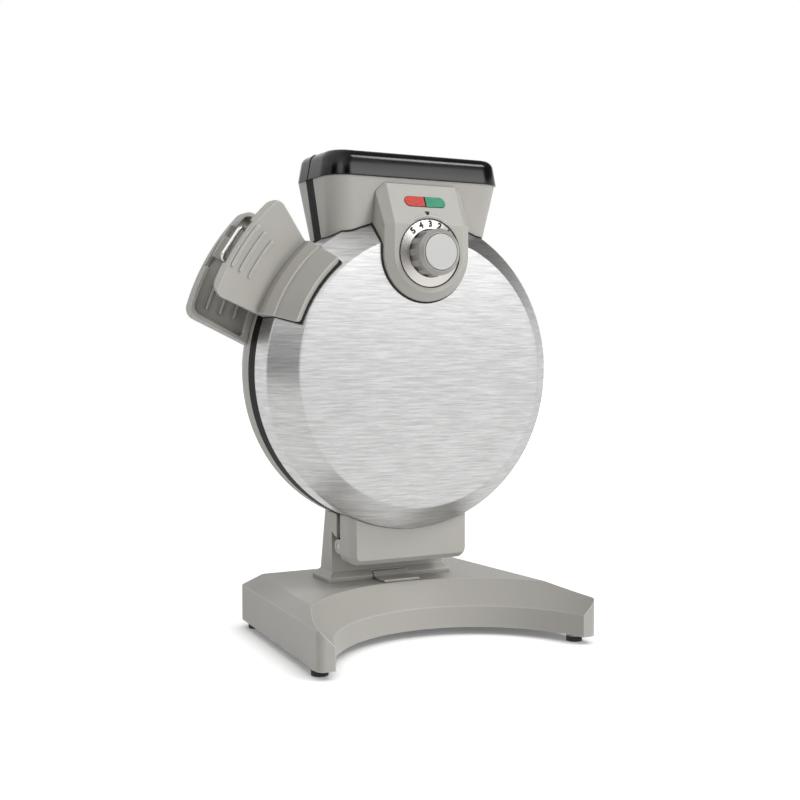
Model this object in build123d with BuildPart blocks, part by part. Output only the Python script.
from build123d import *
from math import asin, atan2, cos, degrees, hypot, radians, sin, sqrt, tan
import os

os.makedirs("parts", exist_ok=True)

# Vertical Belgian waffle maker, in millimetres, with +Z up and the front towards -Y.
# The origin lies on the table under the middle of the whole machine.
# A depth v is measured from the parting plane between the two halves, positive towards
# the rear. Angles round the disc run from +X towards +Z.

# Round waffle body
disc_r = 122.0
front_depth = 48.6
bevel = 18.4
steel = 1.0
steel_edge_r = 1.6
frame_half = 6.8
seam_gap = 0.3
back_depth = 42.0
back_round = 26.0
wall = 3.0
fit_gap = 0.3

# Base and feet
foot_r = 6.2
foot_h = 4.0
foot_boss_h = 2.2
base_h = 35.5
ridge_h = 28.3
base_front_v = -112.0
base_rear_v = 73.0
base_front_w = 116.9
base_rear_w = 105.0
top_front_w = 104.9
top_rear_w = 90.0
top_rear_inset = 3.5
base_corner_r = 6.0
base_wall = 2.5
cover_t = 2.2
arch_v = -139.0
arch_r = 107.4
arch_top_r = 126.0
arch_wall_h = 16.8
front_foot_x = 108.0
front_foot_v = -93.7
rear_foot_x = 96.0
rear_foot_v = 61.0
cover_screw_x = 62.0
cover_screw_rear_v = 56.0
cover_screw_front_v = -8.0
screw_r = 1.6
screw_head_r = 3.0
screw_head_h = 1.7
screw_l = 12.0
screw_boss_r = 4.0
block_back = 24.0
terminal_block_l = 30.0
terminal_block_w = 14.0
terminal_block_h = 12.0
foot_plug_r = 2.5
foot_plug_l = 6.0
inlet_x = 60.0
inlet_h = 14.0
inlet_r = 6.5
inlet_bore_r = 4.0
inlet_lip = 1.5

# Hinge at the foot of the disc
hinge_rise = 30.3
hinge_drop = 14.5
hinge_v = -2.0
pin_r = 2.5
bush_t = 1.2
run_gap = 0.05
lug_r = 6.5
rear_lug_x = 36.0
rear_lug_w = 10.0
door_lug_x = 22.0
door_lug_w = 13.6
door_block_h = 12.0
block_w = 46.5
block_drop = 8.5
block_h = 20.0

# Cover round the hinge, on the door
box_face_v = -28.3
box_w = 52.0
box_bottom_drop = 12.5
box_bevel = 4.5
box_bevel_v = 6.5
box_corner_r = 3.5
box_wall = 2.5
pin_inset = 0.4
ear_r = 5.5

# Pedestal
pedestal_w = 50.5
pedestal_front_v = 13.0
cheek_v = 3.7
cheek_low_h = 36.3
cheek_high_h = 40.3
cheek_recess_w = 46.8
pedestal_low_v = 39.4
pedestal_low_h = 7.3
pedestal_high_v = 30.0
pedestal_high_h = 55.3
pedestal_corner_r = 6.0
skirt_w = 54.6
skirt_front_v = 8.2
skirt_rear_v = 41.0
skirt_lip_h = 3.0
skirt_slope_h = 5.5
tenon_w = 40.0
tenon_front_v = 17.0
tenon_rear_v = 34.0
tenon_h = 12.0

# Release tab
tab_w = 15.5
tab_front_v = -11.5
tab_riser_v = 9.4
tab_t = 1.8
tab_riser_h = 5.6
tab_tail_v = 24.0
tab_slot_l = 24.0

# Hopper, its rim and the batter chute
rim_rise = 25.0
rim_h = 19.5
rim_low_w = 76.0
rim_top_w = 72.5
rim_front_v = 41.5
rim_rear_v = 33.0
rim_lean = 3.0
rim_corner_r = 19.0
rim_top_r = 7.0
hopper_w = 74.2
hopper_side_slope = 0.1535
hopper_front_v = 40.6
hopper_front_slope = 0.19
hopper_rear_v = 31.0
hopper_rear_slope = 0.15
hopper_front_corner_r = 17.0
hopper_rear_corner_r = 12.0
mouth_w = 66.0
mouth_inset = 10.5
mouth_corner_r = 9.0
chute_t = 2.0
chute_flange_t = 3.0
spout_w = 20.0
spout_v = 5.5
strip_w = 5.0

# Waffle plates
ring_band_w = 14.6
plate_clear = 0.4
plate_flange_t = 3.6
plate_flange_w = 17.0
ledge_w = 4.0
cavity_depth = 13.5
pan_t = 3.0
pan_draft = 12.0
stud_base = 14.5
stud_h = 9.5
stud_draft = 12.0
stud_pitch = 19.0
stud_first = 12.5
stud_margin = 0.8
divider_w = 5.0
divider_h = 6.0

# Heating
element_inset = 52.0
element_tube_r = 3.5
element_span = 320.0
element_seat_w = 2.0
element_seat_h = 4.0
terminal_r = 2.2
terminal_l = 12.0
reflector_clear = 2.0
reflector_skirt = 6.0
reflector_t = 0.8
reflector_gap = 10.0
reflector_post_r = 4.0
reflector_post_inset = 41.0
shell_boss_r = 5.0
screw_sink = 5.0
fuse_r = 2.5
fuse_l = 14.0
fuse_drop = 30.0

# Control pod and dial
dial_rise = 89.9
pod_v = -56.5
pod_r = 35.7
pod_crease_h = 21.8
pod_top_h = 51.5
pod_corner_w = 6.0
pod_corner_h = 4.8
pod_flare = 4.5
pod_bevel_w = 6.2
pod_bevel_v = 4.2
pod_slope_v = 14.8
pod_slope_h = 31.0
pod_wall = 2.5
pod_depth = 29.5
pod_hole_r = 24.0
dial_sink = 2.0
dial_gap = 0.8
dial_floor_t = 2.5
lens_half = 17.3
lens_h = 8.5
lens_rise = 39.2
lens_t = 3.0
lens_proud = 0.5
lamp_at = 8.0
lamp_r = 2.0
lamp_l = 3.5
lens_divider = 1.2
ring_r = 25.2
ring_inner_r = 18.3
ring_edge_v = 1.9
ring_crown_v = 3.2
ring_float = 0.3
knob_low_r = 17.8
knob_high_r = 15.4
knob_l = 18.7
knob_shoulder = 1.6
knob_float = 0.6
cap_r = 13.5
cap_recess_r = 13.9
cap_t = 1.6
cap_proud = 0.5
flute_count = 12
flute_r = 1.9
flute_l = 12.0
shaft_r = 3.0
thermostat_r = 14.0
thermostat_t = 9.0
thermostat_neck_r = 5.0
thermostat_neck_l = 10.0
bracket_t = 1.2
bracket_boss_at = 16.0

# Front grip; radii are measured outwards from the disc's edge
grip_start = 130.2
grip_end = 160.2
grip_corner_r = 10.0
mount_t = 3.6
mount_inner = 14.0
mount_outer = 10.5
mount_rear_v = -8.0
mount_corner_r = 3.8
gasket_t = 1.2
gasket_lip = 1.2
ridge_v = -23.0
ridge_out = 6.8
groove_v = -14.0
groove_out = 8.0
neck_v = -14.5
neck_out = 10.5
bow_v = -20.5
bow_out = 28.0
lip_v = -26.0
lip_out = 46.0
edge_v = -24.5
edge_out = 49.8
edge_back_v = -22.0
lip_back_v = -22.3
bow_back_v = -16.5
neck_back_v = -9.0
neck_back_out = 11.5
rib_start = 139.2
rib_end = 152.0
rib_outs = (43.2, 35.6, 26.6)
rib_w = 2.5
rib_h = 1.25

# Rear grip, a shallow dish open to the front
rear_grip_start = 133.0
rear_grip_end = 165.3
rear_grip_inner_end = 170.4
rear_grip_out = 49.6
rear_grip_under = 4.0
rear_grip_front_v = 14.0
rear_grip_back_v = 26.0
rear_grip_wall = 2.5
rear_grip_corner_r = 9.0
rear_grip_band = 5.0
rear_rib_outs = (35.0, 24.0, 12.7)
rear_rib_w = 1.6
rear_rib_h = 5.0
rear_rib_start = 136.0
rear_rib_end = 162.4

# Wire bail that locks the two grips together
latch_angle = 146.0
notch_start = 139.5
notch_end = 152.3
notch_depth = 1.6
pivot_out = 28.0
bail_leg = 27.5
bail_rest_angle = -35.5
bail_wire_r = 1.5
bail_half = 14.0
bail_bend_r = 4.0
bail_pin_bend_r = 1.8
bail_pin_in = 9.4
ear_t = 2.2
ear_at = 11.0
ear_eye_r = 3.6
catch_start = 143.0
catch_end = 149.0
catch_t = 6.0
catch_groove_r = 1.9
catch_groove_v = 17.3

# Levels and centres worked out from the sizes above
base_z = foot_h + foot_boss_h
base_top_z = base_z + base_h
hinge_z = base_top_z + hinge_rise
disc_z = hinge_z + hinge_drop + disc_r
rim_z = disc_z + disc_r + rim_rise
dial_z = disc_z + dial_rise
face_r = disc_r - bevel
element_r = disc_r - element_inset
reflector_post_at = disc_r - reflector_post_inset
pin_half = box_w - pin_inset
steel_wall_v = front_depth - bevel
plate_r = disc_r - ring_band_w - plate_clear
cavity_r = plate_r - plate_flange_w
floor_depth = seam_gap / 2 + cavity_depth
pan_back = floor_depth + pan_t
element_v = pan_back + element_tube_r + run_gap
reflector_v = pan_back + reflector_gap
rear_grip_r = disc_r + rear_grip_out
corner_r = rear_grip_r - rear_grip_corner_r
corner_turn = radians(180 - rear_grip_end) + asin(rear_grip_corner_r / corner_r)
grip_reach = corner_r * cos(corner_turn) + rear_grip_corner_r
axis_x = (grip_reach - disc_r) / 2
seam_y = -(base_front_v + base_rear_v) / 2
disc_axis = Axis((axis_x, seam_y, disc_z), (0, 1, 0))
dial_axis = Axis((axis_x, seam_y, dial_z), (0, 1, 0))
seam_plane = Plane(origin=(axis_x, seam_y, 0), x_dir=(1, 0, 0), z_dir=(0, -1, 0))


def front_plane(v):
    """Upright plane across the machine at depth v: local x and z, facing the front."""
    return Plane(origin=(axis_x, seam_y + v, 0), x_dir=(1, 0, 0), z_dir=(0, -1, 0))


def back_plane(v):
    """The same upright plane facing the rear, with local x towards the left."""
    return Plane(origin=(axis_x, seam_y + v, 0), x_dir=(-1, 0, 0), z_dir=(0, 1, 0))


def level_plane(z):
    """Level plane at height z: local x and depth, facing up."""
    return Plane(origin=(axis_x, seam_y, z), x_dir=(1, 0, 0), z_dir=(0, 0, 1))


def side_plane(x):
    """Upright plane from front to rear at x: local depth and z, facing right."""
    return Plane(origin=(axis_x + x, seam_y, 0), x_dir=(0, 1, 0), z_dir=(1, 0, 0))


def radial_plane(angle, along=0.0):
    """Plane through the disc's axis at an angle: local depth and radius."""
    turn = radians(angle)
    facing = Vector(sin(turn), 0, -cos(turn))
    centre = Vector(axis_x, seam_y, disc_z) + facing * along
    return Plane(origin=centre, x_dir=(0, 1, 0), z_dir=facing)


def upright_axis(x, v):
    """Vertical axis at x and depth v."""
    return Axis((axis_x + x, seam_y + v, 0), (0, 0, 1))


def steel_outline(grow):
    """Corners of the steel half in depth and radius, from its centre to its wall."""
    mitre = grow * (sqrt(2) - 1)
    return [
        (-front_depth - grow, 0),
        (-front_depth - grow, face_r + mitre),
        (-steel_wall_v - mitre, disc_r + grow),
    ]


def front_form(start, grow):
    """Solid of the steel half ahead of depth start, grown outwards by grow."""
    corners = steel_outline(grow)
    with BuildPart() as form:
        with BuildSketch(radial_plane(90)):
            Polygon((start, 0), *corners, (start, disc_r + grow), align=None)
        revolve(axis=disc_axis)
    return form.part


def rear_form(start, grow):
    """Solid of the round rear half behind depth start, grown outwards by grow."""
    round_r = back_round + grow
    round_v = back_depth - back_round
    flat_r = disc_r - back_round
    with BuildPart() as form:
        with BuildSketch(radial_plane(90)):
            with BuildLine():
                Polyline((back_depth + grow, flat_r), (back_depth + grow, 0), (start, 0))
                Polyline((start, 0), (start, disc_r + grow), (round_v, disc_r + grow))
                CenterArc((round_v, flat_r), round_r, 0, 90)
            make_face()
        revolve(axis=disc_axis)
    return form.part


def half_slab(half_width, near, far, corner):
    """Rectangle from depth near to depth far, with its two far corners rounded."""
    low = min(near, far)
    with BuildSketch(mode=Mode.PRIVATE) as slab:
        with Locations((0, low)):
            Rectangle(2 * half_width, abs(far - near), align=(Align.CENTER, Align.MIN))
        side = 0 if far < near else -1
        fillet(slab.vertices().group_by(Axis.Y)[side], corner)
    return slab.sketch


def hopper_half_width(z):
    """Half width of the hopper's housing at height z."""
    return hopper_w - (rim_z - z) * hopper_side_slope


def hopper_form(start, depth, slope, corner, inset, low_z, high_z):
    """Half of the tapering hopper housing from depth start, set in by a wall."""
    sign = 1 if depth > 0 else -1
    with BuildPart() as form:
        for z in (low_z, high_z):
            reach = depth - sign * ((rim_z - z) * slope + inset)
            with BuildSketch(level_plane(z)):
                half = hopper_half_width(z) - inset
                add(half_slab(half, start, reach, corner - inset))
        loft(ruled=True)
    return form.part


def sector(inner, outer, start, end, inner_corner, outer_corner, inner_end=None):
    """Ring sector about the disc's axis, on a front plane, with rounded corners."""
    last = end if inner_end is None else inner_end
    with BuildSketch(mode=Mode.PRIVATE) as shape:
        with BuildLine():
            near = CenterArc((0, disc_z), inner, start, last - start)
            far = CenterArc((0, disc_z), outer, start, end - start)
            Line(near @ 0, far @ 0)
            Line(near @ 1, far @ 1)
        make_face()
        if outer_corner > 0:
            corners = shape.vertices().sort_by(from_disc_centre)
            fillet(corners[-2:], outer_corner)
        if inner_corner > 0:
            corners = shape.vertices().sort_by(from_disc_centre)
            fillet(corners[:2], inner_corner)
    return shape.sketch


def from_disc_centre(corner):
    """Distance of a sketch corner from the disc's axis."""
    return hypot(corner.X, corner.Y - disc_z)


def ring_profile(points, start, end):
    """Solid swept round the disc's axis by an outline in depth and radius."""
    with BuildPart() as swept:
        with BuildSketch(radial_plane(end)):
            Polygon(*points, align=None)
        revolve(axis=disc_axis, revolution_arc=end - start)
    return swept.part


# Steel front shell: a dished round cover with a 45 degree bevel, open towards the controls
with BuildPart() as front_shell:
    outer_corners = steel_outline(0)
    inner_corners = steel_outline(-steel)
    with BuildSketch(radial_plane(90)) as shell_profile:
        Polygon(
            *outer_corners,
            (-frame_half, disc_r),
            (-frame_half, disc_r - steel),
            *reversed(inner_corners),
            align=None,
        )
        for depth, radius in outer_corners[1:]:
            corner = shell_profile.vertices().sort_by_distance((depth, radius, 0))[0]
            fillet(corner, steel_edge_r)
        for depth, radius in inner_corners[1:]:
            corner = shell_profile.vertices().sort_by_distance((depth, radius, 0))[0]
            fillet(corner, steel_edge_r - steel)
    revolve(axis=disc_axis)
    with BuildSketch(front_plane(-steel_wall_v)):
        with Locations((0, dial_z - pod_hole_r / 4)):
            Circle(pod_hole_r)
    extrude(amount=front_depth, mode=Mode.SUBTRACT)


# Round frames: the black band on each side of the seam, with the hopper's side strips
def half_frame(collar_r):
    """Front half frame: ring, plate ledge, collar inside the cover and hopper strips."""
    low_z = disc_z + disc_r * 0.6
    low_w = hopper_half_width(low_z)
    top_w = hopper_half_width(rim_z)
    trough_w = spout_w + pan_t + plate_clear
    with BuildPart() as half:
        with BuildSketch(front_plane(-seam_gap / 2)):
            Polygon((-low_w, low_z), (low_w, low_z), (top_w, rim_z), (-top_w, rim_z), align=None)
            Polygon(
                (strip_w - low_w, low_z),
                (low_w - strip_w, low_z),
                (top_w - strip_w, rim_z),
                (strip_w - top_w, rim_z),
                align=None,
                mode=Mode.SUBTRACT,
            )
            with Locations((0, disc_z)):
                Circle(disc_r)
        extrude(amount=frame_half - seam_gap / 2)
        with BuildSketch(front_plane(-frame_half)):
            with Locations((0, disc_z)):
                Circle(collar_r)
        extrude(amount=frame_half)
        with BuildSketch(front_plane(0)):
            with Locations((0, disc_z)):
                Circle(plate_r + plate_clear)
        extrude(amount=seam_gap / 2 + plate_flange_t, mode=Mode.SUBTRACT)
        with BuildSketch(front_plane(0)):
            with Locations((0, disc_z)):
                Circle(plate_r - ledge_w)
            with Locations((0, disc_z + plate_r + plate_clear)):
                Rectangle(2 * trough_w, 2 * ledge_w, align=(Align.CENTER, Align.MAX))
        extrude(amount=front_depth, mode=Mode.SUBTRACT)
        with BuildSketch(front_plane(0)):
            with Locations((0, disc_z + cavity_r)):
                Rectangle(2 * spout_w, disc_r, align=(Align.CENTER, Align.MIN))
        extrude(amount=spout_v, mode=Mode.SUBTRACT)
    return half.part


def lug(x, width, knee_v, block_start, block_end):
    """Hinge lug at x: a round eye about the pin's axis, carried by the block above it."""
    with BuildPart() as arm:
        with BuildSketch(side_plane(x)):
            with Locations((hinge_v, hinge_z)):
                Circle(lug_r)
            Polygon(
                (hinge_v, hinge_z),
                (knee_v, hinge_z),
                (block_end, hinge_z + block_drop),
                (block_start, hinge_z + block_drop),
                align=None,
            )
        extrude(amount=width)
    return arm.part


with BuildPart() as front_frame:
    add(half_frame(disc_r - steel - run_gap))
    for near_x in (door_lug_x, -door_lug_x - door_lug_w):
        with BuildSketch(side_plane(near_x)):
            with Locations((-frame_half, hinge_z + block_drop)):
                Rectangle(frame_half - seam_gap / 2, door_block_h, align=Align.MIN)
        extrude(amount=door_lug_w)
        add(lug(near_x, door_lug_w, hinge_v - lug_r, -frame_half, -seam_gap / 2))
        with BuildSketch(side_plane(near_x)):
            with Locations((hinge_v, hinge_z)):
                Circle(pin_r + run_gap + bush_t)
        extrude(amount=door_lug_w, mode=Mode.SUBTRACT)

with BuildPart() as rear_frame:
    with BuildSketch(side_plane(-block_w)):
        with Locations((seam_gap / 2, hinge_z + block_drop)):
            Rectangle(pedestal_front_v - seam_gap / 2, block_h, align=Align.MIN)
    extrude(amount=2 * block_w)
    add(rear_form(frame_half, fit_gap), mode=Mode.SUBTRACT)
    mirror(half_frame(disc_r - wall - run_gap), about=seam_plane)
    for near_x in (rear_lug_x, -rear_lug_x - rear_lug_w):
        add(lug(near_x, rear_lug_w, hinge_v + lug_r, seam_gap / 2, pedestal_front_v))
        with BuildSketch(side_plane(near_x)):
            with Locations((hinge_v, hinge_z)):
                Circle(pin_r)
        extrude(amount=rear_lug_w, mode=Mode.SUBTRACT)

# Rear shell: one moulding with the disc's rounded back and the rear of the hopper
with BuildPart() as rear_shell:
    add(rear_form(frame_half, 0))
    hopper_low_z = disc_z + disc_r * 0.6
    rear_shape = (hopper_rear_v, hopper_rear_slope, hopper_rear_corner_r)
    add(hopper_form(frame_half, *rear_shape, 0, hopper_low_z, rim_z))
    add(rear_form(frame_half - wall, -wall), mode=Mode.SUBTRACT)
    inner_hopper = hopper_form(frame_half - wall, *rear_shape, wall, hopper_low_z, rim_z + 1)
    add(inner_hopper, mode=Mode.SUBTRACT)

    shell_boss_v = reflector_v + reflector_t
    with BuildSketch(back_plane(shell_boss_v)):
        with Locations((0, disc_z)):
            with PolarLocations(reflector_post_at, 4, start_angle=45):
                Circle(shell_boss_r)
    extrude(amount=back_depth - shell_boss_v)
    with BuildSketch(back_plane(back_depth - screw_sink)):
        with Locations((0, disc_z)):
            with PolarLocations(reflector_post_at, 4, start_angle=45):
                Circle(screw_head_r + fit_gap)
    extrude(amount=screw_sink, mode=Mode.SUBTRACT)
    with BuildSketch(back_plane(shell_boss_v)):
        with Locations((0, disc_z)):
            with PolarLocations(reflector_post_at, 4, start_angle=45):
                Circle(screw_r + run_gap)
    extrude(amount=back_depth - shell_boss_v, mode=Mode.SUBTRACT)

# Funnel housing on the door, seated on the steel shell
front_shape = (-hopper_front_v, hopper_front_slope, hopper_front_corner_r)
with BuildPart() as funnel_front:
    add(hopper_form(-frame_half, *front_shape, 0, hopper_low_z, rim_z))
    inner_funnel = hopper_form(wall - frame_half, *front_shape, wall, hopper_low_z, rim_z + 1)
    add(inner_funnel, mode=Mode.SUBTRACT)
    add(front_form(0, fit_gap), mode=Mode.SUBTRACT)


# Waffle plates: cast pans with tapered studs, quarter dividers and a batter inlet
def stud_places():
    """Centres of the studs whose feet stand clear of the cavity's wall."""
    half = stud_base / 2
    rows = [stud_first + step * stud_pitch for step in range(int(cavity_r / stud_pitch))]
    clear_r = cavity_r - cavity_depth * tan(radians(pan_draft)) - stud_margin
    quarter = [(x, z) for x in rows for z in rows if hypot(x + half, z + half) < clear_r]
    return [(side * x, disc_z + rise * z) for x, z in quarter for side in (-1, 1) for rise in (-1, 1)]


def half_plate():
    """Front plate with its studs facing the seam and the heater's seat on its back."""
    mouth_v = seam_gap / 2
    draft = cavity_depth * tan(radians(pan_draft))
    trough_low_z = disc_z + cavity_r - draft - run_gap
    seat_rs = (
        element_r - element_tube_r - run_gap - element_seat_w,
        element_r + element_tube_r + run_gap,
    )
    bar_reach = cavity_r - draft + pan_t * 0.7
    bar_top = divider_w / 2 - divider_h * tan(radians(stud_draft))
    with BuildPart() as half:
        with BuildSketch(radial_plane(90)):
            Polygon(
                (-pan_back, 0),
                (-pan_back, cavity_r - draft + pan_t),
                (-mouth_v - plate_flange_t, cavity_r + pan_t),
                (-mouth_v - plate_flange_t, plate_r),
                (-mouth_v, plate_r),
                (-mouth_v, 0),
                align=None,
            )
        revolve(axis=disc_axis)
        with BuildSketch(front_plane(-mouth_v)):
            with Locations((0, trough_low_z)):
                Rectangle(
                    2 * spout_w + 2 * pan_t,
                    disc_z + plate_r - trough_low_z,
                    align=(Align.CENTER, Align.MIN),
                )
        extrude(amount=spout_v + pan_t - mouth_v)
        with BuildSketch(radial_plane(90)):
            Polygon(
                (0, 0),
                (0, cavity_r),
                (-mouth_v, cavity_r),
                (-floor_depth, cavity_r - draft),
                (-floor_depth, 0),
                align=None,
            )
        revolve(axis=disc_axis, mode=Mode.SUBTRACT)
        with BuildSketch(front_plane(0)):
            with Locations((0, trough_low_z - pan_t)):
                Rectangle(2 * spout_w, disc_r, align=(Align.CENTER, Align.MIN))
        extrude(amount=spout_v, mode=Mode.SUBTRACT)
        with BuildSketch(back_plane(-floor_depth)):
            with Locations(*stud_places()):
                Rectangle(stud_base, stud_base)
        extrude(amount=stud_h, taper=stud_draft)
        with BuildSketch(side_plane(-bar_reach)):
            Polygon(
                (-floor_depth, disc_z - divider_w / 2),
                (-floor_depth + divider_h, disc_z - bar_top),
                (-floor_depth + divider_h, disc_z + bar_top),
                (-floor_depth, disc_z + divider_w / 2),
                align=None,
            )
        extrude(amount=2 * bar_reach)
        with BuildSketch(level_plane(disc_z - bar_reach)):
            Polygon(
                (-divider_w / 2, -floor_depth),
                (divider_w / 2, -floor_depth),
                (bar_top, -floor_depth + divider_h),
                (-bar_top, -floor_depth + divider_h),
                align=None,
            )
        extrude(amount=2 * bar_reach)
        for seat_r in seat_rs:
            with BuildSketch(front_plane(-pan_back)):
                with Locations((0, disc_z)):
                    Circle(seat_r + element_seat_w)
                    Circle(seat_r, mode=Mode.SUBTRACT)
            extrude(amount=element_seat_h)
        with BuildSketch(front_plane(-pan_back)):
            with Locations((0, disc_z)):
                with PolarLocations(reflector_post_at, 4, start_angle=45):
                    Circle(reflector_post_r)
                    Circle(screw_r + run_gap, mode=Mode.SUBTRACT)
        extrude(amount=reflector_gap)
    return half.part


with BuildPart() as front_plate:
    add(half_plate())

with BuildPart() as rear_plate:
    mirror(front_plate.part, about=seam_plane)


# Tubular heaters: an open ring with two connection pins turned away from the plate
def heater():
    """Front heater seated between the two ribs on the back of its plate."""
    gap = 360 - element_span
    with BuildPart() as tube:
        with BuildLine(front_plane(-element_v)):
            course = CenterArc((0, disc_z), element_r, 90 + gap / 2, element_span)
        with BuildSketch(Plane(origin=course @ 0, z_dir=course % 0)):
            Circle(element_tube_r)
        sweep(path=course)
        for end in (course @ 0, course @ 1):
            with BuildSketch(front_plane(-element_v)):
                with Locations((end.X - axis_x, end.Z)):
                    Circle(terminal_r)
            extrude(amount=terminal_l)
    return tube.part


with BuildPart() as front_element:
    add(heater())

with BuildPart() as rear_element:
    mirror(front_element.part, about=seam_plane)


# Heat reflectors: thin dishes screwed to the posts behind the plates
def reflector():
    """Front reflector with its skirt towards the plate and holes for the heater's pins."""
    reach = cavity_r + reflector_clear
    gap = radians((360 - element_span) / 2)
    hole_x = element_r * sin(gap)
    hole_z = disc_z + element_r * cos(gap)
    with BuildPart() as dish:
        with BuildSketch(radial_plane(90)):
            Polygon(
                (-reflector_v, 0),
                (-reflector_v, reach - reflector_t),
                (-reflector_v + reflector_skirt, reach - reflector_t),
                (-reflector_v + reflector_skirt, reach),
                (-reflector_v - reflector_t, reach),
                (-reflector_v - reflector_t, 0),
                align=None,
            )
        revolve(axis=disc_axis)
        with BuildSketch(front_plane(-reflector_v + 1)):
            with Locations((hole_x, hole_z), (-hole_x, hole_z)):
                Circle(terminal_r * 2)
            with Locations((0, disc_z)):
                with PolarLocations(reflector_post_at, 4, start_angle=45):
                    Circle(screw_r + run_gap)
        extrude(amount=reflector_t + 2, mode=Mode.SUBTRACT)
    return dish.part


with BuildPart() as front_reflector:
    add(reflector())

with BuildPart() as rear_reflector:
    mirror(front_reflector.part, about=seam_plane)


post_offset = reflector_post_at / sqrt(2)
post_places = [
    (side_x * post_offset, disc_z + side_z * post_offset) for side_x in (-1, 1) for side_z in (-1, 1)
]


def screw_set(plane, places, length):
    """Pan head screws whose heads sit on a plane and whose shanks run behind it."""
    with BuildPart() as screws:
        with BuildSketch(plane):
            with Locations(*places):
                Circle(screw_head_r)
        extrude(amount=screw_head_h)
        with BuildSketch(plane):
            with Locations(*places):
                Circle(screw_r)
        extrude(amount=-length)
    return screws.part


with BuildPart() as rear_shell_screws:
    sunk = back_depth - screw_sink
    add(screw_set(back_plane(sunk), post_places, sunk - pan_back - fit_gap))

with BuildPart() as reflector_screws:
    add(screw_set(front_plane(-reflector_v - reflector_t), post_places, reflector_gap - fit_gap))

with BuildPart() as thermal_fuse:
    with BuildSketch(side_plane(-fuse_l / 2)):
        with Locations((reflector_v + reflector_t + fuse_r, disc_z - fuse_drop)):
            Circle(fuse_r)
    extrude(amount=fuse_l)


# Hopper rim: two glossy halves that meet at the seam
def half_rim(depth):
    """Front half of the rim round the hopper's mouth, leaning inwards to a rounded top."""
    with BuildPart() as half:
        with BuildSketch(level_plane(rim_z)):
            add(half_slab(rim_low_w, -seam_gap / 2, -depth, rim_corner_r))
        with BuildSketch(level_plane(rim_z + rim_h)):
            add(half_slab(rim_top_w, -seam_gap / 2, rim_lean - depth, rim_corner_r - rim_lean))
        loft(ruled=True)
        top_edges = half.faces().sort_by(Axis.Z)[-1].edges()
        fillet(top_edges.filter_by(lambda e: e.center().Y < seam_y - 1), rim_top_r)
        with BuildSketch(level_plane(rim_z)):
            add(half_slab(mouth_w, 1, mouth_inset - depth, mouth_corner_r))
        extrude(amount=rim_h, mode=Mode.SUBTRACT)
    return half.part


with BuildPart() as front_rim:
    add(half_rim(rim_front_v))

with BuildPart() as rear_rim:
    mirror(half_rim(rim_rear_v), about=seam_plane)


# Batter chute: black liner halves from the mouth down to the spout in the frames
def half_chute(depth, housing_depth, slope, corner):
    """Front half of the chute, with the flange that hangs it under the rim."""
    mouth_v = mouth_inset - depth
    low_z = disc_z + disc_r + fit_gap
    flange_w = hopper_half_width(rim_z - chute_flange_t) - strip_w - fit_gap
    flange_v = housing_depth - chute_flange_t * slope - wall - fit_gap
    with BuildPart() as half:
        with BuildSketch(level_plane(rim_z)):
            add(half_slab(mouth_w + chute_t, -seam_gap / 2, mouth_v - chute_t, mouth_corner_r + chute_t))
        with BuildSketch(level_plane(low_z)):
            add(half_slab(spout_w + chute_t, -seam_gap / 2, -spout_v - chute_t, chute_t + 1))
        loft(ruled=True)
        with BuildSketch(level_plane(rim_z)):
            add(half_slab(flange_w, -seam_gap / 2, -flange_v, corner - wall))
        extrude(amount=-chute_flange_t)
        with BuildSketch(level_plane(rim_z)):
            add(half_slab(mouth_w, 1, mouth_v, mouth_corner_r))
        with BuildSketch(level_plane(low_z)):
            add(half_slab(spout_w, 1, -spout_v, 1))
        loft(ruled=True, mode=Mode.SUBTRACT)
    return half.part


with BuildPart() as front_chute:
    add(half_chute(rim_front_v, hopper_front_v, hopper_front_slope, hopper_front_corner_r))

with BuildPart() as rear_chute:
    rear_half = half_chute(rim_rear_v, hopper_rear_v, hopper_rear_slope, hopper_rear_corner_r)
    mirror(rear_half, about=seam_plane)


# Control pod on the funnel housing and the steel face
slope_long = hypot(pod_slope_v, pod_slope_h)
slope_out = Vector(0, -pod_slope_h / slope_long, pod_slope_v / slope_long)
lens_v = pod_v + pod_slope_v * (lens_rise - pod_crease_h) / pod_slope_h
lens_centre = Vector(axis_x, seam_y + lens_v, dial_z + lens_rise)


def slope_plane(out):
    """Plane of the pod's sloping panel, centred on the lamp window, moved outwards."""
    return Plane(origin=lens_centre + slope_out * out, x_dir=(1, 0, 0), z_dir=slope_out)


def pod_front(half, top_z):
    """Outline of the pod seen from the front: round below, straight sides above."""
    with BuildSketch(mode=Mode.PRIVATE) as front:
        with BuildLine():
            CenterArc((0, dial_z), half, 180, 180)
            Polyline(
                (half, dial_z),
                (half, top_z - pod_corner_h),
                (half - pod_corner_w, top_z),
                (pod_corner_w - half, top_z),
                (-half, top_z - pod_corner_h),
                (-half, dial_z),
            )
        make_face()
    return front.sketch


def pod_form(inset):
    """Solid of the pod, bevelled round its front and its sloping panel, set in by a wall."""
    start_v = pod_v + inset
    face_half = pod_r - pod_bevel_w - inset * 0.3
    bevel_taper = -degrees(atan2(pod_bevel_w, pod_bevel_v))
    top_z = dial_z + pod_top_h - inset
    panel_origin = lens_centre - slope_out * inset
    with BuildPart() as form:
        with BuildSketch(back_plane(start_v)):
            add(pod_front(pod_r - inset, top_z))
        extrude(amount=pod_depth - inset, taper=-pod_flare)
        with BuildSketch(back_plane(start_v)):
            add(pod_front(face_half, top_z + pod_depth))
        extrude(amount=pod_depth, taper=bevel_taper, mode=Mode.INTERSECT)
        with BuildSketch(Plane(origin=panel_origin, x_dir=(1, 0, 0), z_dir=-slope_out)):
            Rectangle(2 * face_half, 2 * disc_r)
        extrude(amount=pod_depth + pod_slope_v, taper=bevel_taper, mode=Mode.INTERSECT)
    return form.part


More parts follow.
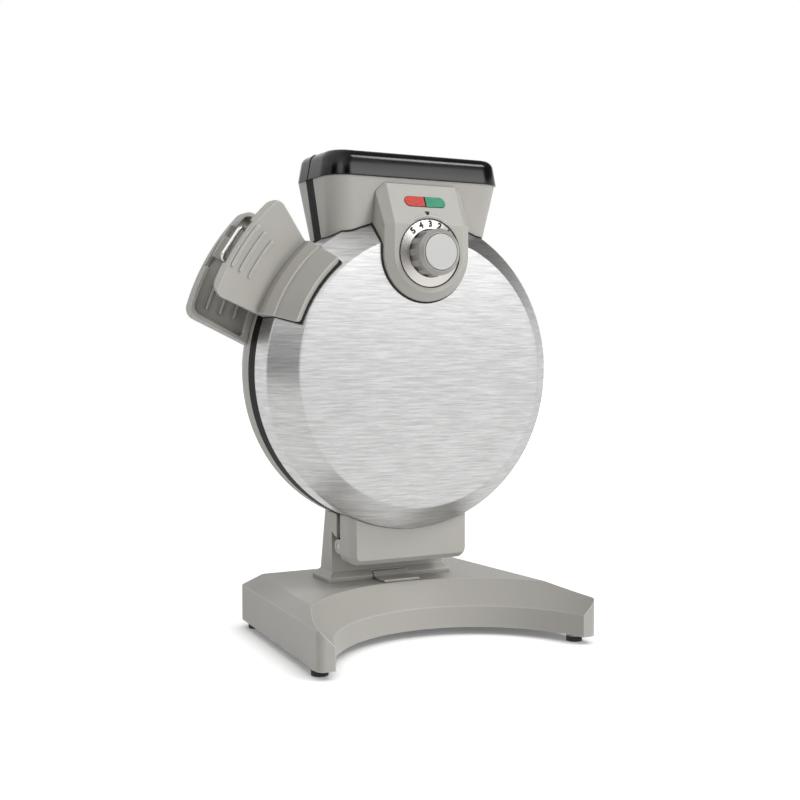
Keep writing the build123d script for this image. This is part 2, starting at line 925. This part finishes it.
dial_seat_v = pod_v + dial_sink
thermostat_v = dial_seat_v + dial_floor_t + thermostat_neck_l
with BuildPart() as control_pod:
    add(pod_form(0))
    add(pod_form(pod_wall), mode=Mode.SUBTRACT)
    with BuildSketch(front_plane(dial_seat_v + dial_floor_t)):
        with Locations((0, dial_z)):
            Circle(ring_r + dial_gap + pod_wall)
    extrude(amount=dial_floor_t + dial_sink / 2)
    with BuildSketch(front_plane(dial_seat_v)):
        with Locations((0, dial_z)):
            Circle(ring_r + dial_gap)
    extrude(amount=2 * dial_sink, mode=Mode.SUBTRACT)
    add(front_form(0, fit_gap), mode=Mode.SUBTRACT)
    grown_funnel = hopper_form(0, *front_shape, -fit_gap, hopper_low_z, rim_z + wall)
    add(grown_funnel, mode=Mode.SUBTRACT)
    with BuildSketch(front_plane(thermostat_v - bracket_t)):
        with Locations((-bracket_boss_at, dial_z), (bracket_boss_at, dial_z)):
            Circle(screw_boss_r - 1)
    extrude(amount=thermostat_neck_l)
    with BuildSketch(front_plane(dial_seat_v + dial_floor_t)):
        with Locations((0, dial_z)):
            Circle(shaft_r + run_gap)
    extrude(amount=dial_floor_t, mode=Mode.SUBTRACT)
    with BuildSketch(slope_plane(0)):
        SlotOverall(2 * lens_half, lens_h)
    extrude(amount=-pod_depth / 4, mode=Mode.SUBTRACT)


def lens(side):
    """Half of the lamp window on one side of its dark divider."""
    with BuildPart() as glass:
        with BuildSketch(slope_plane(lens_proud)):
            SlotOverall(2 * lens_half - 2 * run_gap, lens_h - 2 * run_gap)
            with Locations((side * (lens_divider / 2 - lens_half), 0)):
                Rectangle(2 * lens_half, 2 * lens_h, mode=Mode.SUBTRACT)
        extrude(amount=-lens_t)
    return glass.part


with BuildPart() as red_lens:
    add(lens(-1))

with BuildPart() as green_lens:
    add(lens(1))

with BuildPart() as indicator_lamps:
    with BuildSketch(slope_plane(lens_proud - lens_t - fit_gap)):
        with Locations((-lamp_at, 0), (lamp_at, 0)):
            Circle(lamp_r)
    extrude(amount=-lamp_l)

# Dial: numbered ring, fluted knob, cap and shaft turn together
with BuildPart() as dial_ring:
    with BuildSketch(Plane(origin=(axis_x, seam_y, dial_z), x_dir=(0, 1, 0), z_dir=(1, 0, 0))):
        Polygon(
            (dial_seat_v - ring_float, ring_inner_r),
            (dial_seat_v - ring_float, ring_r),
            (dial_seat_v - ring_edge_v, ring_r),
            (dial_seat_v - ring_crown_v, ring_inner_r),
            align=None,
        )
    revolve(axis=dial_axis)

knob_end_v = dial_seat_v - knob_float - knob_l
with BuildPart() as knob:
    with BuildSketch(Plane(origin=(axis_x, seam_y, dial_z), x_dir=(0, 1, 0), z_dir=(1, 0, 0))):
        Polygon(
            (dial_seat_v - knob_float, shaft_r),
            (dial_seat_v - knob_float, knob_low_r),
            (dial_seat_v - ring_crown_v, knob_low_r),
            (knob_end_v + knob_shoulder, knob_high_r),
            (knob_end_v, knob_high_r - knob_shoulder / 2),
            (knob_end_v, cap_recess_r),
            (knob_end_v + cap_t, cap_recess_r),
            (knob_end_v + cap_t, 0),
            (knob_end_v + 2 * cap_t, 0),
            (knob_end_v + 2 * cap_t, shaft_r),
            align=None,
        )
    revolve(axis=dial_axis)
    with BuildSketch(front_plane(dial_seat_v - ring_crown_v)):
        with Locations((0, dial_z)):
            with PolarLocations(knob_low_r, flute_count):
                Circle(flute_r)
    extrude(amount=flute_l, mode=Mode.SUBTRACT)

with BuildPart() as knob_cap:
    with BuildSketch(front_plane(knob_end_v + cap_t)):
        with Locations((0, dial_z)):
            Circle(cap_r)
    extrude(amount=cap_t + cap_proud)
    fillet(knob_cap.edges().sort_by(Axis.Y)[0], cap_proud)

with BuildPart() as dial_shaft:
    with BuildSketch(front_plane(thermostat_v - thermostat_neck_l)):
        with Locations((0, dial_z)):
            Circle(shaft_r)
    extrude(amount=thermostat_v - thermostat_neck_l - knob_end_v - 2 * cap_t)

with BuildPart() as thermostat:
    with BuildSketch(front_plane(thermostat_v + thermostat_t)):
        with Locations((0, dial_z)):
            Circle(thermostat_r)
    extrude(amount=thermostat_t)
    with BuildSketch(front_plane(thermostat_v)):
        with Locations((0, dial_z)):
            Circle(thermostat_neck_r)
    extrude(amount=thermostat_neck_l - run_gap)

with BuildPart() as thermostat_bracket:
    with BuildSketch(front_plane(thermostat_v)):
        with Locations((0, dial_z)):
            Rectangle(2 * bracket_boss_at + 2 * screw_boss_r, 2 * thermostat_neck_r + 2 * screw_boss_r)
            Circle(thermostat_neck_r + run_gap, mode=Mode.SUBTRACT)
    extrude(amount=bracket_t)

# Front grip: mount on the bevel, groove and bowed paddle, all arcs about the disc's axis
mount_seat = steel_outline(gasket_t)
bevel_sum = disc_r + steel_wall_v
mitred = gasket_t * sqrt(2)
mount_low = (disc_r - mount_inner - bevel_sum - mitred, disc_r - mount_inner)
mount_high = (
    disc_r - mount_outer - bevel_sum - (gasket_t + mount_t) * sqrt(2),
    disc_r - mount_outer,
)

# Three raised ribs that the thumb meets on the front grip's bow
with BuildPart() as grip_ribs:
    with BuildSketch(radial_plane(grip_end)):
        with BuildLine():
            ThreePointArc(
                (neck_v, disc_r + neck_out), (bow_v, disc_r + bow_out), (lip_v, disc_r + lip_out)
            )
            Polyline(
                (lip_v, disc_r + lip_out),
                (lip_v - rib_h, disc_r + lip_out),
            )
            ThreePointArc(
                (lip_v - rib_h, disc_r + lip_out),
                (bow_v - rib_h, disc_r + bow_out),
                (neck_v - rib_h, disc_r + neck_out),
            )
            Polyline(
                (neck_v - rib_h, disc_r + neck_out),
                (neck_v, disc_r + neck_out),
            )
        make_face()
    revolve(axis=disc_axis, revolution_arc=grip_end - grip_start)
    with BuildSketch(front_plane(0)):
        for out in rib_outs:
            near = disc_r + out - rib_w / 2
            add(sector(near, near + rib_w, rib_start, rib_end, rib_w / 3, rib_w / 3))
    extrude(amount=front_depth + wall, mode=Mode.INTERSECT)

with BuildPart() as front_grip:
    with BuildSketch(radial_plane(grip_end)):
        with BuildLine():
            Polyline(
                (neck_back_v, disc_r + neck_back_out),
                (mount_rear_v, disc_r + gasket_t),
                mount_seat[2],
                mount_low,
                mount_high,
                (ridge_v, disc_r + ridge_out),
                (groove_v, disc_r + groove_out),
                (neck_v, disc_r + neck_out),
            )
            ThreePointArc(
                (neck_v, disc_r + neck_out), (bow_v, disc_r + bow_out), (lip_v, disc_r + lip_out)
            )
            Polyline(
                (lip_v, disc_r + lip_out),
                (edge_v, disc_r + edge_out),
                (edge_back_v, disc_r + edge_out),
                (lip_back_v, disc_r + lip_out),
            )
            ThreePointArc(
                (lip_back_v, disc_r + lip_out),
                (bow_back_v, disc_r + bow_out),
                (neck_back_v, disc_r + neck_back_out),
            )
        make_face()
    revolve(axis=disc_axis, revolution_arc=grip_end - grip_start)
    with BuildSketch(front_plane(0)):
        add(
            sector(
                disc_r - mount_inner,
                disc_r + edge_out,
                grip_start,
                grip_end,
                mount_corner_r,
                grip_corner_r,
            )
        )
        add(
            sector(
                disc_r + edge_out - notch_depth,
                disc_r + edge_out + notch_depth,
                notch_start,
                notch_end,
                0,
                0,
            ),
            mode=Mode.SUBTRACT,
        )
    extrude(amount=front_depth + wall, mode=Mode.INTERSECT)
    add(grip_ribs.part)
    for side in (-1, 1):
        with BuildSketch(radial_plane(latch_angle, side * ear_at - ear_t / 2)):
            with Locations((0, disc_r + pivot_out)):
                Circle(ear_eye_r)
            Polygon(
                (0, disc_r + pivot_out + ear_eye_r),
                (bow_back_v - 2, disc_r + pivot_out + ear_eye_r),
                (bow_back_v - 1, disc_r + pivot_out - ear_eye_r),
                (0, disc_r + pivot_out - ear_eye_r),
                align=None,
            )
            with Locations((0, disc_r + pivot_out)):
                Circle(bail_wire_r + run_gap, mode=Mode.SUBTRACT)
        extrude(amount=ear_t)

with BuildPart() as grip_gasket:
    seal = steel_outline(run_gap)
    low_r = disc_r - mount_inner - gasket_lip
    add(
        ring_profile(
            [
                (low_r - bevel_sum - run_gap * sqrt(2), low_r),
                seal[2],
                (mount_rear_v, disc_r + run_gap),
                (mount_rear_v, disc_r + gasket_t),
                mount_seat[2],
                (low_r - bevel_sum - mitred, low_r),
            ],
            grip_start - 0.3,
            grip_end + 0.3,
        )
    )


# Rear grip: a dish open to the front, seated on the rounded rear shell
with BuildPart() as rear_handle:
    under_r = disc_r - rear_grip_under
    with BuildSketch(front_plane(rear_grip_back_v)):
        add(
            sector(
                under_r,
                rear_grip_r,
                rear_grip_start,
                rear_grip_end,
                0,
                rear_grip_corner_r,
                rear_grip_inner_end,
            )
        )
    extrude(amount=rear_grip_back_v - rear_grip_front_v)
    with BuildSketch(front_plane(rear_grip_back_v - rear_grip_wall)):
        edge_turn = 1.2
        add(
            sector(
                disc_r + rear_grip_band + fit_gap,
                rear_grip_r - rear_grip_wall,
                rear_grip_start + edge_turn,
                rear_grip_end - edge_turn,
                2,
                rear_grip_corner_r - rear_grip_wall,
                rear_grip_inner_end - 2 * edge_turn,
            )
        )
    extrude(amount=rear_grip_back_v, mode=Mode.SUBTRACT)
    with BuildSketch(front_plane(rear_grip_back_v - rear_grip_wall)):
        for out in rear_rib_outs:
            add(
                sector(
                    disc_r + out,
                    disc_r + out + rear_rib_w,
                    rear_rib_start,
                    rear_rib_end,
                    0,
                    0,
                )
            )
    extrude(amount=rear_rib_h)
    with BuildSketch(front_plane(rear_grip_back_v)):
        add(sector(rear_grip_r - catch_t, rear_grip_r, catch_start, catch_end, 0, 0))
    extrude(amount=rear_grip_back_v - rear_grip_front_v)
    add(rear_form(0, fit_gap), mode=Mode.SUBTRACT)
    catch_groove = ring_profile(
        [
            (catch_groove_v - catch_groove_r, rear_grip_r - catch_groove_r),
            (catch_groove_v + catch_groove_r, rear_grip_r - catch_groove_r),
            (catch_groove_v + catch_groove_r, rear_grip_r + 1),
            (catch_groove_v - catch_groove_r, rear_grip_r + 1),
        ],
        notch_start,
        notch_end,
    )
    add(catch_groove, mode=Mode.SUBTRACT)
    for start, end in ((notch_start, catch_start), (catch_end, notch_end)):
        with BuildSketch(front_plane(catch_groove_v + catch_groove_r)):
            add(sector(rear_grip_r - 2 * catch_t, rear_grip_r + 1, start, end, 0, 0))
        extrude(amount=catch_groove_v, mode=Mode.SUBTRACT)

# Wire bail on two ears behind the front grip, stowed in the notch of the grip's edge
bail_turn = radians(bail_rest_angle)
latch_turn = radians(latch_angle)
outwards = Vector(cos(latch_turn), 0, sin(latch_turn))
along = Vector(sin(latch_turn), 0, -cos(latch_turn))
leg_way = outwards * cos(bail_turn) + Vector(0, 1, 0) * sin(bail_turn)
bail_centre = Vector(axis_x, seam_y, disc_z) + outwards * (disc_r + pivot_out)
bail_plane = Plane(origin=bail_centre, x_dir=along, z_dir=along.cross(leg_way))
with BuildPart() as wire_bail:
    with BuildLine(bail_plane) as bail_line:
        FilletPolyline(
            (-bail_pin_in, 0),
            (-bail_half, 0),
            (-bail_half, bail_leg),
            (bail_half, bail_leg),
            (bail_half, 0),
            (bail_pin_in, 0),
            radius=[bail_pin_bend_r, bail_bend_r, bail_bend_r, bail_pin_bend_r],
        )
    course = bail_line.wires()[0]
    with BuildSketch(Plane(origin=course @ 0, z_dir=course % 0)):
        Circle(bail_wire_r)
    sweep(path=course)


# Hinge cover on the door, round the lugs and the pin
box_bottom_z = hinge_z - box_bottom_drop


def box_front(half_width, low_z, corner):
    """Outline of the hinge cover seen from the front, with its two lower corners rounded."""
    with BuildSketch(mode=Mode.PRIVATE) as front:
        with Locations((0, low_z)):
            Rectangle(2 * half_width, disc_z - low_z, align=(Align.CENTER, Align.MIN))
        fillet(front.vertices().group_by(Axis.Y)[0], corner)
    return front.sketch


def box_form(inset):
    """Solid of the hinge cover, bevelled round its front, set in by a wall thickness."""
    grown = box_bevel - inset / 2
    bevel_depth = grown * box_bevel_v / box_bevel
    side_v = box_face_v + inset + bevel_depth
    half_width = box_w - inset
    low_z = box_bottom_z + inset
    with BuildPart() as form:
        with BuildSketch(back_plane(box_face_v + inset)):
            add(box_front(half_width - grown, low_z + grown, box_corner_r))
        extrude(amount=bevel_depth, taper=-degrees(atan2(grown, bevel_depth)))
        with BuildSketch(back_plane(side_v)):
            add(box_front(half_width, low_z, box_corner_r + grown))
        extrude(amount=-frame_half - side_v)
    return form.part


with BuildPart() as hinge_cover:
    add(box_form(0))
    add(box_form(box_wall), mode=Mode.SUBTRACT)
    for near_x in (-box_w, box_w - box_wall):
        with BuildSketch(side_plane(near_x)):
            with Locations((hinge_v, hinge_z)):
                Circle(ear_r)
            with Locations((hinge_v, hinge_z)):
                ear_reach = hinge_v - box_face_v - box_bevel_v
                Rectangle(ear_reach, 2 * ear_r, align=(Align.MAX, Align.CENTER))
            with Locations((hinge_v, hinge_z)):
                Circle(pin_r + run_gap, mode=Mode.SUBTRACT)
        extrude(amount=box_wall)
    with BuildSketch(front_plane(0)):
        with Locations((0, disc_z)):
            Circle(disc_r + fit_gap)
    extrude(amount=front_depth, mode=Mode.SUBTRACT)

with BuildPart() as hinge_pin:
    with BuildSketch(side_plane(-pin_half)):
        with Locations((hinge_v, hinge_z)):
            Circle(pin_r)
    extrude(amount=2 * pin_half)

with BuildPart() as hinge_bushes:
    for near_x in (door_lug_x, -door_lug_x - door_lug_w):
        with BuildSketch(side_plane(near_x)):
            with Locations((hinge_v, hinge_z)):
                Circle(pin_r + run_gap + bush_t)
                Circle(pin_r + run_gap, mode=Mode.SUBTRACT)
        extrude(amount=door_lug_w)


def on_pedestal_rear(edge):
    """True for the edges that climb the pedestal's two rear corners."""
    middle = edge.center()
    at_side = abs(abs(middle.X - axis_x) - pedestal_w) < fit_gap
    return at_side and middle.Y > seam_y + pedestal_high_v - fit_gap


# Pedestal that carries the rear half
with BuildPart() as pedestal:
    with BuildSketch(side_plane(-pedestal_w)):
        Polygon(
            (pedestal_front_v, base_top_z),
            (pedestal_low_v, base_top_z),
            (pedestal_low_v, base_top_z + pedestal_low_h),
            (pedestal_high_v, base_top_z + pedestal_high_h),
            (pedestal_high_v, disc_z - disc_r + block_h),
            (cheek_v, disc_z - disc_r + block_h),
            (cheek_v, base_top_z + cheek_low_h),
            (pedestal_front_v, base_top_z + cheek_high_h),
            align=None,
        )
    extrude(amount=2 * pedestal_w)
    rear_corners = pedestal.edges().filter_by(on_pedestal_rear)
    fillet(rear_corners, pedestal_corner_r)
    with BuildSketch(side_plane(-cheek_recess_w)):
        Polygon(
            (0, base_top_z),
            (pedestal_front_v, base_top_z),
            (pedestal_front_v, disc_z),
            (0, disc_z),
            align=None,
        )
    extrude(amount=2 * cheek_recess_w, mode=Mode.SUBTRACT)
    with BuildSketch(level_plane(base_top_z)):
        Polygon(
            (-skirt_w, skirt_front_v),
            (skirt_w, skirt_front_v),
            (skirt_w, skirt_rear_v),
            (-skirt_w, skirt_rear_v),
            align=None,
        )
    extrude(amount=skirt_lip_h)
    with BuildSketch(level_plane(base_top_z + skirt_lip_h)):
        Polygon(
            (-skirt_w, skirt_front_v),
            (skirt_w, skirt_front_v),
            (skirt_w, skirt_rear_v),
            (-skirt_w, skirt_rear_v),
            align=None,
        )
    extrude(amount=skirt_slope_h, taper=45)
    with BuildSketch(level_plane(base_top_z)):
        Polygon(
            (-tenon_w, tenon_front_v),
            (tenon_w, tenon_front_v),
            (tenon_w, tenon_rear_v),
            (-tenon_w, tenon_rear_v),
            align=None,
        )
    extrude(amount=-tenon_h)
    with BuildSketch(side_plane(wall - pedestal_w)):
        Polygon(
            (pedestal_front_v + wall, base_top_z - tenon_h),
            (tenon_rear_v - wall, base_top_z - tenon_h),
            (pedestal_high_v - wall, base_top_z + pedestal_high_h),
            (pedestal_high_v - wall, disc_z),
            (pedestal_front_v + wall, disc_z),
            align=None,
        )
    extrude(amount=2 * (pedestal_w - wall), mode=Mode.SUBTRACT)
    add(rear_form(0, fit_gap), mode=Mode.SUBTRACT)
    with BuildSketch(level_plane(base_top_z)):
        with Locations((0, skirt_front_v - 1)):
            Rectangle(
                2 * tab_w + 2 * fit_gap, tab_slot_l, align=(Align.CENTER, Align.MIN)
            )
    extrude(amount=tab_riser_h + 2 * fit_gap, mode=Mode.SUBTRACT)

# Release tab that slides into the pedestal's foot
with BuildPart() as release_tab:
    tab_low_z = base_top_z + fit_gap
    with BuildSketch(side_plane(-tab_w)):
        Polygon(
            (tab_front_v, tab_low_z),
            (tab_tail_v, tab_low_z),
            (tab_tail_v, tab_low_z + tab_riser_h),
            (tab_riser_v, tab_low_z + tab_riser_h),
            (tab_riser_v - 2 * tab_t, tab_low_z + tab_t),
            (tab_front_v, tab_low_z + tab_t),
            align=None,
        )
    extrude(amount=2 * tab_w)


# Base: a moulded shell with sloping shoulders and a round bite out of its front
def base_outline(inset):
    """Outline of the base seen from above, set in by a wall."""
    return [
        (inset - base_rear_w, base_rear_v - inset),
        (base_rear_w - inset, base_rear_v - inset),
        (base_front_w - inset, base_front_v + inset),
        (inset - base_front_w, base_front_v + inset),
    ]


def base_form(inset):
    """Solid of the base, with its walls and top set in by a wall thickness."""
    top_z = base_top_z - inset
    bite_top_z = base_z + arch_wall_h
    rise = (arch_top_r - arch_r) / (base_h - arch_wall_h)
    over = 2 * base_wall
    corner = base_corner_r - inset
    with BuildPart() as form:
        with BuildSketch(level_plane(base_z)) as foot:
            Polygon(*base_outline(inset), align=None)
            fillet(foot.vertices(), corner)
        extrude(amount=ridge_h)
        with BuildSketch(level_plane(base_z + ridge_h)) as ridge:
            Polygon(*base_outline(inset), align=None)
            fillet(ridge.vertices(), corner)
        with BuildSketch(level_plane(top_z)) as crown:
            Polygon(
                (inset - top_rear_w, base_rear_v - top_rear_inset - inset),
                (top_rear_w - inset, base_rear_v - top_rear_inset - inset),
                (top_front_w - inset, base_front_v + inset),
                (inset - top_front_w, base_front_v + inset),
                align=None,
            )
            fillet(crown.vertices(), corner)
        loft(ruled=True)
        with BuildSketch(side_plane(0)):
            Polygon(
                (arch_v, base_z - over),
                (arch_v + arch_r + inset, base_z - over),
                (arch_v + arch_r + inset, bite_top_z),
                (arch_v + arch_top_r + inset + over * rise, base_top_z + over),
                (arch_v, base_top_z + over),
                align=None,
            )
        revolve(axis=upright_axis(0, arch_v), mode=Mode.SUBTRACT)
    return form.part


foot_places = [
    (-front_foot_x, front_foot_v),
    (front_foot_x, front_foot_v),
    (-rear_foot_x, rear_foot_v),
    (rear_foot_x, rear_foot_v),
]
cover_screw_places = [
    (-cover_screw_x, cover_screw_rear_v),
    (cover_screw_x, cover_screw_rear_v),
    (-cover_screw_x, cover_screw_front_v),
    (cover_screw_x, cover_screw_front_v),
]
with BuildPart() as base_posts:
    with BuildSketch(level_plane(base_z)):
        with Locations(*foot_places):
            Circle(foot_r)
    extrude(amount=base_h)
    with BuildSketch(level_plane(base_z + cover_t)):
        with Locations(*cover_screw_places):
            Circle(screw_boss_r)
    extrude(amount=base_h)
    add(base_form(0), mode=Mode.INTERSECT)

with BuildPart() as base_shell:
    add(base_form(0))
    add(base_form(base_wall), mode=Mode.SUBTRACT)
    add(base_posts.part)
    with BuildSketch(level_plane(foot_h)):
        with Locations(*foot_places):
            Circle(foot_r)
    extrude(amount=foot_boss_h)
    with BuildSketch(level_plane(base_z)):
        with Locations(*cover_screw_places):
            Circle(screw_r + run_gap)
    extrude(amount=screw_l, mode=Mode.SUBTRACT)
    with BuildSketch(level_plane(foot_h)):
        with Locations(*foot_places):
            Circle(foot_plug_r + run_gap)
    extrude(amount=foot_plug_l, mode=Mode.SUBTRACT)
    with BuildSketch(level_plane(base_top_z - base_wall - tenon_h)):
        with Locations((0, (tenon_front_v + tenon_rear_v) / 2)):
            reach = tenon_rear_v - tenon_front_v
            Rectangle(2 * (tenon_w + fit_gap), reach + 2 * fit_gap)
    extrude(amount=2 * tenon_h, mode=Mode.SUBTRACT)
    with BuildSketch(front_plane(base_rear_v)):
        with Locations((inlet_x, base_z + inlet_h)):
            Circle(inlet_r)
    extrude(amount=2 * base_wall, mode=Mode.SUBTRACT)

with BuildPart() as base_cover:
    with BuildSketch(level_plane(base_z)) as plate:
        Polygon(*base_outline(base_wall + fit_gap), align=None)
        fillet(plate.vertices(), base_corner_r - base_wall)
        with Locations((0, arch_v)):
            Circle(arch_r + base_wall + fit_gap, mode=Mode.SUBTRACT)
        with Locations(*foot_places):
            Circle(foot_r + fit_gap, mode=Mode.SUBTRACT)
        with Locations(*cover_screw_places):
            Circle(screw_r + run_gap, mode=Mode.SUBTRACT)
    extrude(amount=cover_t - run_gap)


with BuildPart() as base_screws:
    under = Plane(origin=(axis_x, seam_y, base_z), x_dir=(1, 0, 0), z_dir=(0, 0, -1))
    add(screw_set(under, [(x, -v) for x, v in cover_screw_places], screw_l - fit_gap))

with BuildPart() as terminal_block:
    with BuildSketch(level_plane(base_z + cover_t)):
        with Locations((inlet_x - block_back, base_rear_v - block_back)):
            Rectangle(terminal_block_l, terminal_block_w)
    extrude(amount=terminal_block_h)

with BuildPart() as rubber_feet:
    with BuildSketch(level_plane(0)):
        with Locations(*foot_places):
            Circle(foot_r)
    extrude(amount=foot_h)
    with BuildSketch(level_plane(foot_h)):
        with Locations(*foot_places):
            Circle(foot_plug_r)
    extrude(amount=foot_plug_l - fit_gap)

with BuildPart() as cord_inlet:
    with BuildSketch(front_plane(base_rear_v + inlet_lip)):
        with Locations((inlet_x, base_z + inlet_h)):
            Circle(inlet_r + inlet_lip)
    extrude(amount=inlet_lip)
    with BuildSketch(front_plane(base_rear_v)):
        with Locations((inlet_x, base_z + inlet_h)):
            Circle(inlet_r - run_gap)
    extrude(amount=2 * base_wall)
    with BuildSketch(front_plane(base_rear_v + inlet_lip)):
        with Locations((inlet_x, base_z + inlet_h)):
            Circle(inlet_bore_r)
    extrude(amount=4 * base_wall, mode=Mode.SUBTRACT)

nodes = {
    "base_shell": base_shell,
    "base_cover": base_cover,
    "rubber_feet": rubber_feet,
    "cord_inlet": cord_inlet,
    "base_screws": base_screws,
    "terminal_block": terminal_block,
    "pedestal": pedestal,
    "release_tab": release_tab,
    "rear_shell": rear_shell,
    "rear_frame": rear_frame,
    "rear_plate": rear_plate,
    "rear_element": rear_element,
    "rear_reflector": rear_reflector,
    "rear_shell_screws": rear_shell_screws,
    "thermal_fuse": thermal_fuse,
    "rear_rim": rear_rim,
    "rear_chute": rear_chute,
    "rear_handle": rear_handle,
    "hinge_pin": hinge_pin,
    "hinge_bushes": hinge_bushes,
    "front_shell": front_shell,
    "front_frame": front_frame,
    "front_plate": front_plate,
    "front_element": front_element,
    "front_reflector": front_reflector,
    "reflector_screws": reflector_screws,
    "front_rim": front_rim,
    "front_chute": front_chute,
    "funnel_front": funnel_front,
    "hinge_cover": hinge_cover,
    "control_pod": control_pod,
    "red_lens": red_lens,
    "green_lens": green_lens,
    "indicator_lamps": indicator_lamps,
    "thermostat": thermostat,
    "thermostat_bracket": thermostat_bracket,
    "front_grip": front_grip,
    "grip_gasket": grip_gasket,
    "dial_ring": dial_ring,
    "knob": knob,
    "knob_cap": knob_cap,
    "dial_shaft": dial_shaft,
    "wire_bail": wire_bail,
}
for name, piece in nodes.items():
    piece.part.label = name
    export_step(piece.part, f"parts/{name}.step")
